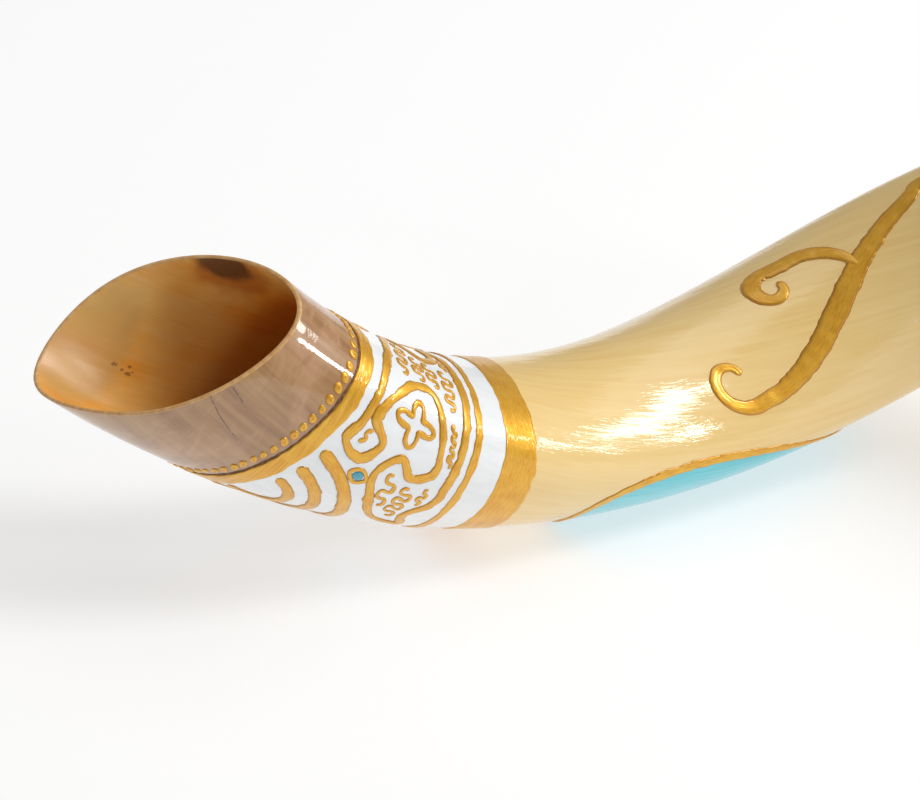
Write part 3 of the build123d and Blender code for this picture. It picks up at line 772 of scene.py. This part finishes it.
class Material:
    """A node material with short calls for the nodes it uses."""

    def __init__(self, name):
        self.material = bpy.data.materials.new(name)
        self.material.use_nodes = True
        self.nodes = self.material.node_tree.nodes
        self.links = self.material.node_tree.links
        self.shader = self.nodes["Principled BSDF"]

    def wire(self, value, socket):
        if isinstance(value, bpy.types.NodeSocket):
            self.links.new(value, socket)
        else:
            socket.default_value = value

    def spot(self, scale=(1, 1, 1), label="spot"):
        """Coordinates along the horn and round it, or along and across a stroke."""
        source = self.nodes.new("ShaderNodeAttribute")
        source.attribute_name = label
        mapping = self.nodes.new("ShaderNodeMapping")
        self.links.new(source.outputs["Vector"], mapping.inputs["Vector"])
        mapping.inputs["Scale"].default_value = scale
        return mapping.outputs["Vector"]

    def noise(self, vector, scale, detail=3.0, rough=0.5, twist=0.0):
        node = self.nodes.new("ShaderNodeTexNoise")
        self.links.new(vector, node.inputs["Vector"])
        node.inputs["Scale"].default_value = scale
        node.inputs["Detail"].default_value = detail
        node.inputs["Roughness"].default_value = rough
        node.inputs["Distortion"].default_value = twist
        return node.outputs["Fac"]

    def ramp(self, value, *stops):
        """A colour for a value: each stop is a position and its colour."""
        node = self.nodes.new("ShaderNodeValToRGB")
        self.links.new(value, node.inputs["Fac"])
        elements = node.color_ramp.elements
        while len(elements) < len(stops):
            elements.new(0.5)
        for element, (position, colour) in zip(elements, stops):
            element.position = position
            element.color = (*colour, 1.0)
        return node.outputs["Color"]

    def fade(self, value, low, high, out_low=0.0, out_high=1.0):
        node = self.nodes.new("ShaderNodeMapRange")
        node.interpolation_type = "SMOOTHSTEP"
        self.links.new(value, node.inputs["Value"])
        limits = {"From Min": low, "From Max": high, "To Min": out_low, "To Max": out_high}
        for label, number in limits.items():
            node.inputs[label].default_value = number
        return node.outputs["Result"]

    def mix(self, factor, first, second):
        node = self.nodes.new("ShaderNodeMix")
        node.data_type = "RGBA"
        self.wire(factor, node.inputs["Factor"])
        self.wire(first, node.inputs["A"])
        self.wire(second if isinstance(second, bpy.types.NodeSocket) else (*second, 1.0), node.inputs["B"])
        return node.outputs["Result"]

    def math(self, kind, first, second):
        node = self.nodes.new("ShaderNodeMath")
        node.operation = kind
        self.wire(first, node.inputs[0])
        self.wire(second, node.inputs[1])
        return node.outputs[0]

    def axis(self, vector, label):
        node = self.nodes.new("ShaderNodeSeparateXYZ")
        self.links.new(vector, node.inputs[0])
        return node.outputs[label]

    def vector(self, kind, first, second, label="Vector"):
        node = self.nodes.new("ShaderNodeVectorMath")
        node.operation = kind
        self.wire(first, node.inputs[0])
        self.wire(second, node.inputs[3 if kind == "SCALE" else 1])
        return node.outputs[label]

    def wander(self, reach, scale, size):
        """A distance made ragged by noise."""
        noise = self.noise(self.spot(), scale)
        return self.math("ADD", reach, self.math("MULTIPLY", self.math("ADD", noise, -0.5), size))

    def blot(self, place, size, ragged=0.5, strength=1.0):
        """A mask: the strength at a place on the horn, none at a size round it and along it."""
        offset = self.vector("SUBTRACT", self.spot(), tuple(place_marks(*np.array(place, float))))
        offset = self.vector("MULTIPLY", offset, (1 / size[0], 1 / size[0], 1 / size[1]))
        reach = self.vector("LENGTH", offset, (0, 0, 0), "Value")
        mask = self.fade(self.wander(reach, 0.9 / min(size), 2 * ragged), 0.55, 1.0, 1.0, 0.0)
        return self.math("MULTIPLY", mask, strength)

    def crack(self, start, end, width, strength):
        """A mask: the strength along a hairline between two places on the horn."""
        first, last = (place_marks(*np.array(place, float)) for place in (start, end))
        run = last - first
        offset = self.vector("SUBTRACT", self.spot(), tuple(first))
        share = self.vector("DOT_PRODUCT", offset, tuple(run / (run @ run)), "Value")
        share = self.math("MINIMUM", self.math("MAXIMUM", share, 0.0), 1.0)
        nearest = self.vector("SCALE", tuple(run), share)
        reach = self.vector("LENGTH", self.vector("SUBTRACT", offset, nearest), (0, 0, 0), "Value")
        reach = self.math("ABSOLUTE", self.wander(reach, 0.8, 1.1), 0.0)
        return self.math("MULTIPLY", self.fade(reach, width / 2, width, 1.0, 0.0), strength)

    def bump(self, height, distance, strength, after=None):
        node = self.nodes.new("ShaderNodeBump")
        self.links.new(height, node.inputs["Height"])
        node.inputs["Distance"].default_value = distance
        node.inputs["Strength"].default_value = strength
        if after is not None:
            self.links.new(after, node.inputs["Normal"])
        return node.outputs["Normal"]

    def finish(self, colour, roughness, normal, coat, coat_roughness=0.03, coat_normal=None, metallic=0.0):
        self.wire(colour, self.shader.inputs["Base Color"])
        self.wire(roughness, self.shader.inputs["Roughness"])
        self.wire(normal, self.shader.inputs["Normal"])
        self.shader.inputs["Metallic"].default_value = metallic
        self.shader.inputs["Coat Weight"].default_value = coat
        self.shader.inputs["Coat Roughness"].default_value = coat_roughness
        self.shader.inputs["Coat IOR"].default_value = LACQUER_IOR
        if coat_normal is not None:
            self.wire(coat_normal, self.shader.inputs["Coat Normal"])
        return self.material


def gold_paint():
    """Brushed gold, darker along the edges of a stroke."""
    m = Material("gold_paint")
    brush = m.noise(m.spot((0.25, 2.2, 0.0), "stroke"), 1.0, detail=4, rough=0.6)
    patch = m.noise(m.spot(), 0.16)
    margin = m.axis(m.spot(label="stroke"), "Z")
    colour = m.ramp(
        brush, (0.25, (0.60, 0.245, 0.006)), (0.5, (0.79, 0.38, 0.015)), (0.8, (0.95, 0.57, 0.06)))
    colour = m.mix(m.fade(patch, 0.35, 0.7), colour, m.mix(0.5, colour, (0.90, 0.52, 0.05)))
    colour = m.mix(m.fade(margin, 0.55, 0.92, 0.0, 0.6), colour, (0.46, 0.185, 0.012))
    rough = m.fade(brush, 0.3, 0.8, 0.42, 0.28)
    return m.finish(colour, rough, m.bump(brush, 0.00025, 0.6), coat=0.4, coat_roughness=0.05, metallic=0.45)


def cream_paint():
    """Lacquered cream with faint lengthwise streaks and an uneven gloss."""
    m = Material("cream_paint")
    streak = m.noise(m.spot((1, 1, 0.05)), 0.42, detail=5, rough=0.6)
    fine = m.noise(m.spot((1, 1, 0.03)), 2.4, rough=0.6)
    cloud = m.noise(m.spot((0.4, 0.4, 0.25)), 0.12)
    colour = m.ramp(
        streak, (0.30, (0.86, 0.575, 0.19)), (0.5, (0.90, 0.625, 0.225)), (0.72, (0.925, 0.67, 0.265)))
    colour = m.mix(m.fade(cloud, 0.35, 0.75, 0.0, 0.4), colour, (0.94, 0.71, 0.33))
    colour = m.mix(m.fade(fine, 0.55, 0.8, 0.0, 0.06), colour, (0.70, 0.44, 0.14))
    swell = m.bump(m.noise(m.spot((1, 1, 0.3)), 0.10, detail=2), 0.0014, 0.3)
    wave = m.bump(m.noise(m.spot((1, 1, 0.12)), 0.55, rough=0.6), 0.00032, 0.5, swell)
    grain = m.bump(streak, 0.0001, 0.15)
    return m.finish(colour, 0.5, grain, coat=1.0, coat_roughness=0.02, coat_normal=wave)


def white_paint():
    m = Material("white_paint")
    streak = m.noise(m.spot((1, 1, 0.5)), 0.35, detail=4)
    colour = m.ramp(streak, (0.3, (0.88, 0.91, 0.93)), (0.6, (0.93, 0.955, 0.97)))
    wave = m.bump(m.noise(m.spot((1, 1, 0.4)), 0.5), 0.0003, 0.4)
    return m.finish(colour, 0.4, m.bump(streak, 0.0001, 0.15), coat=1.0, coat_normal=wave)


def turquoise_paint():
    m = Material("turquoise_paint")
    streak = m.noise(m.spot((1, 1, 0.12)), 0.5, detail=4)
    colour = m.ramp(streak, (0.3, (0.07, 0.54, 0.64)), (0.65, (0.12, 0.64, 0.73)))
    wave = m.bump(m.noise(m.spot((1, 1, 0.3)), 0.5), 0.0003, 0.25)
    return m.finish(colour, 0.4, wave, coat=1.0, coat_normal=wave)


def jewel_paint():
    """The deeper turquoise of the two small drops."""
    m = Material("jewel_paint")
    cloud = m.noise(m.spot(), 0.9)
    colour = m.ramp(cloud, (0.3, (0.002, 0.27, 0.40)), (0.7, (0.006, 0.39, 0.53)))
    return m.finish(colour, 0.35, m.bump(cloud, 0.0001, 0.3), coat=1.0, coat_roughness=0.04)


def dark_line():
    m = Material("dark_line")
    patch = m.noise(m.spot(), 0.8)
    colour = m.ramp(patch, (0.35, (0.10, 0.04, 0.016)), (0.7, (0.28, 0.13, 0.05)))
    return m.finish(colour, 0.7, m.bump(patch, 0.0001, 0.4), coat=0.0)


CRACKS = (  # hairlines on the outside near the rim: from place, to place
    ((13.0, 162.0), (20.2, 167.0)), ((20.2, 167.0), (27.0, 170.0)), ((17.5, 152.3), (22.0, 154.2)),
)


def horn_skin():
    """Polished bare horn outside: pinkish brown by the bell, dark brown at the mouthpiece."""
    m = Material("horn_skin")
    distance = m.axis(m.spot(), "Z")
    streak = m.noise(m.spot((1, 1, 0.10)), 0.22, detail=4, rough=0.55)
    cross = m.noise(m.spot((0.30, 0.30, 0.9)), 0.16, detail=4, rough=0.6, twist=0.8)
    fine = m.noise(m.spot((1, 1, 0.06)), 1.6, rough=0.6)
    colour = m.ramp(
        streak, (0.30, (0.30, 0.135, 0.05)), (0.5, (0.43, 0.225, 0.085)), (0.7, (0.52, 0.31, 0.14)))
    colour = m.mix(m.fade(cross, 0.46, 0.72, 0.0, 0.6), colour, (0.62, 0.35, 0.20))
    colour = m.mix(m.fade(fine, 0.5, 0.8, 0.0, 0.12), colour, (0.70, 0.50, 0.30))
    colour = m.mix(m.fade(distance, -22.0, 30.0, 0.35, 0.0), colour, (0.56, 0.33, 0.12))
    for start, end in CRACKS:
        colour = m.mix(m.crack(start, end, 0.28, 0.7), colour, (0.10, 0.045, 0.02))
    tip = m.ramp(streak, (0.3, (0.06, 0.03, 0.018)), (0.6, (0.20, 0.10, 0.05)), (0.8, (0.34, 0.20, 0.10)))
    colour = m.mix(m.fade(distance, 880.0, 990.0), colour, tip)
    wave = m.bump(cross, 0.0006, 0.15)
    return m.finish(colour, 0.35, wave, coat=0.8, coat_roughness=0.015, coat_normal=wave)


def horn_rim():
    m = Material("horn_rim")
    streak = m.noise(m.spot((1, 1, 0.3)), 0.5, detail=4)
    colour = m.ramp(streak, (0.3, (0.60, 0.30, 0.09)), (0.7, (0.78, 0.47, 0.19)))
    return m.finish(colour, 0.3, m.bump(streak, 0.0002, 0.3), coat=0.4, coat_roughness=0.08)


SPECKS = (  # small dark marks inside the mouth: place and half size
    (2.7, 308.0, 0.7), (-0.6, 309.4, 0.8), (5.2, 306.8, 0.9), (4.4, 311.0, 0.6), (6.3, 308.6, 0.45),
)


def horn_bore():
    """Polished inside: amber with faint lengthwise streaks, painted shade that darkens it inwards and a
    painted shadow across the mouth's lower right, a patch of painted shade that dulls the left wall where the
    window light falls, and a dark stain.
    """
    m = Material("horn_bore")
    distance = m.axis(m.spot(), "Z")
    streak = m.noise(m.spot((1, 1, 0.05)), 0.5, detail=5, rough=0.6)
    fine = m.noise(m.spot((1, 1, 0.025)), 1.9, rough=0.6)
    cloud = m.noise(m.spot((0.8, 0.8, 0.45)), 0.045, rough=0.55)
    colour = m.ramp(
        cloud, (0.32, (0.86, 0.27, 0.018)), (0.46, (0.93, 0.43, 0.05)), (0.62, (0.95, 0.58, 0.16)))
    colour = m.mix(m.fade(streak, 0.45, 0.75, 0.0, 0.32), colour, (0.97, 0.68, 0.28))
    colour = m.mix(m.fade(fine, 0.5, 0.75, 0.0, 0.18), colour, (0.50, 0.18, 0.015))
    # painted shade: a duller, darker patch that tones down the window light falling on the left inner wall
    colour = m.mix(m.blot((-13, 309), (30, 20), 0.3, 0.72), colour, (0.58, 0.34, 0.10))
    # painted shadow across the lower right of the mouth, then painted shade deepening further into the bore
    colour = m.mix(m.fade(distance, 22.0, 38.0, 0.0, 0.6), colour, (0.36, 0.075, 0.002))
    colour = m.mix(m.fade(distance, 36.0, 170.0), colour, (0.20, 0.035, 0.002))
    colour = m.mix(m.blot((11, 22), (14, 15), strength=0.65), colour, (0.50, 0.11, 0.008))
    colour = m.mix(m.blot((5.0, 26), (9.5, 13.0), 0.4, 0.9), colour, (0.085, 0.03, 0.014))
    for along, degrees, size in SPECKS:
        colour = m.mix(m.blot((along, degrees), (size, 1.5 * size), 0.8, 0.7), colour, (0.22, 0.08, 0.015))
    wave = m.bump(streak, 0.0003, 0.25)
    return m.finish(colour, 0.45, wave, coat=0.3, coat_roughness=0.22, coat_normal=wave)


def floor_white():
    m = Material("floor_white")
    m.shader.inputs["Base Color"].default_value = (FLOOR_GREY, FLOOR_GREY, FLOOR_GREY, 1)
    m.shader.inputs["Roughness"].default_value = 0.9
    m.shader.inputs["Specular IOR Level"].default_value = 0.0
    m.shader.inputs["Emission Color"].default_value = (1, 1, 1, 1)
    m.shader.inputs["Emission Strength"].default_value = FLOOR_GLOW
    return m.material


# ---------------------------------------------------------------- stage
def make_floor():
    mesh = bpy.data.meshes.new("floor")
    corners = [(x * FLOOR_REACH, y * FLOOR_REACH, 0) for x, y in ((-1, -1), (1, -1), (1, 1), (-1, 1))]
    mesh.from_pydata(corners, [], [(0, 1, 2, 3)])
    mesh.materials.append(floor_white())
    floor = bpy.data.objects.new("floor", mesh)
    bpy.context.scene.collection.objects.link(floor)


def area_light(name, place, target, long_axis, size, power):
    """An area light at a place, facing a target, its long side along an axis."""
    light = bpy.data.lights.new(name, "AREA")
    light.shape = "RECTANGLE"
    light.size, light.size_y = size
    light.energy = power
    lamp = bpy.data.objects.new(name, light)
    back = (Vector(place) - Vector(target)).normalized()
    x_axis = Vector(long_axis)
    x_axis = (x_axis - back * x_axis.dot(back)).normalized()
    y_axis = back.cross(x_axis)
    turn = Matrix((x_axis, y_axis, back)).transposed().to_4x4()
    lamp.matrix_world = Matrix.Translation(place) @ turn
    bpy.context.scene.collection.objects.link(lamp)


def lit_from(name, lit, direction, angles, power):
    """A level light that a lit place sees in a direction, spread over angles in degrees."""
    side, rise = np.radians(direction)
    toward = Vector((np.cos(rise) * np.cos(side), np.cos(rise) * np.sin(side), np.sin(rise)))
    size = [2 * LIGHT_DISTANCE * np.tan(np.radians(angle) / 2) for angle in angles]
    place = Vector(lit) + toward * LIGHT_DISTANCE
    area_light(name, place, lit, (-np.sin(side), np.cos(side), 0), size, power)


def make_lights():
    world = bpy.data.worlds.new("studio")
    world.use_nodes = True
    world.node_tree.nodes["Background"].inputs["Color"].default_value = (1, 1, 1, 1)
    world.node_tree.nodes["Background"].inputs["Strength"].default_value = WORLD_LIGHT
    bpy.context.scene.world = world
    for light in REFLECTED_LIGHTS:
        lit_from(*light)
    area_light("overhead", OVERHEAD_PLACE, (0, 0, 0), (1, 0, 0), OVERHEAD_SIZE, OVERHEAD_POWER)


def make_camera():
    z = np.array([np.sin(CAMERA_AZIMUTH) * np.cos(CAMERA_ELEVATION),
                  -np.cos(CAMERA_AZIMUTH) * np.cos(CAMERA_ELEVATION), np.sin(CAMERA_ELEVATION)])
    x = np.array([np.cos(CAMERA_AZIMUTH), np.sin(CAMERA_AZIMUTH), 0.0])
    y = np.cross(z, x)
    right = x * np.cos(CAMERA_ROLL) + y * np.sin(CAMERA_ROLL)
    up = y * np.cos(CAMERA_ROLL) - x * np.sin(CAMERA_ROLL)
    data = bpy.data.cameras.new("camera")
    data.lens = LENS
    data.sensor_width = SENSOR
    camera = bpy.data.objects.new("camera", data)
    turn = Matrix((right, up, z)).transposed().to_4x4()
    camera.matrix_world = Matrix.Translation((CAMERA_TARGET + z * CAMERA_DISTANCE) * MM) @ turn
    bpy.context.scene.collection.objects.link(camera)
    bpy.context.scene.camera = camera


make_camera()
paints = {
    "gold_paint": gold_paint(), "cream_paint": cream_paint(), "white_paint": white_paint(),
    "turquoise_paint": turquoise_paint(), "jewel_paint": jewel_paint(), "dark_line": dark_line(),
}
gold = paints["gold_paint"]
make_horn(horn_skin(), horn_rim(), horn_bore())
make_coats(paints)
make_frames(gold)
make_arches(gold)
make_stars(gold)
make_curls(gold)
make_diamonds(gold)
make_jewels(paints["jewel_paint"])
make_beads(gold)
make_panel(paints["turquoise_paint"])
make_panel_border(gold)
make_scrolls(gold)
make_floor()
make_lights()
bpy.context.scene.view_settings.view_transform = "Standard"
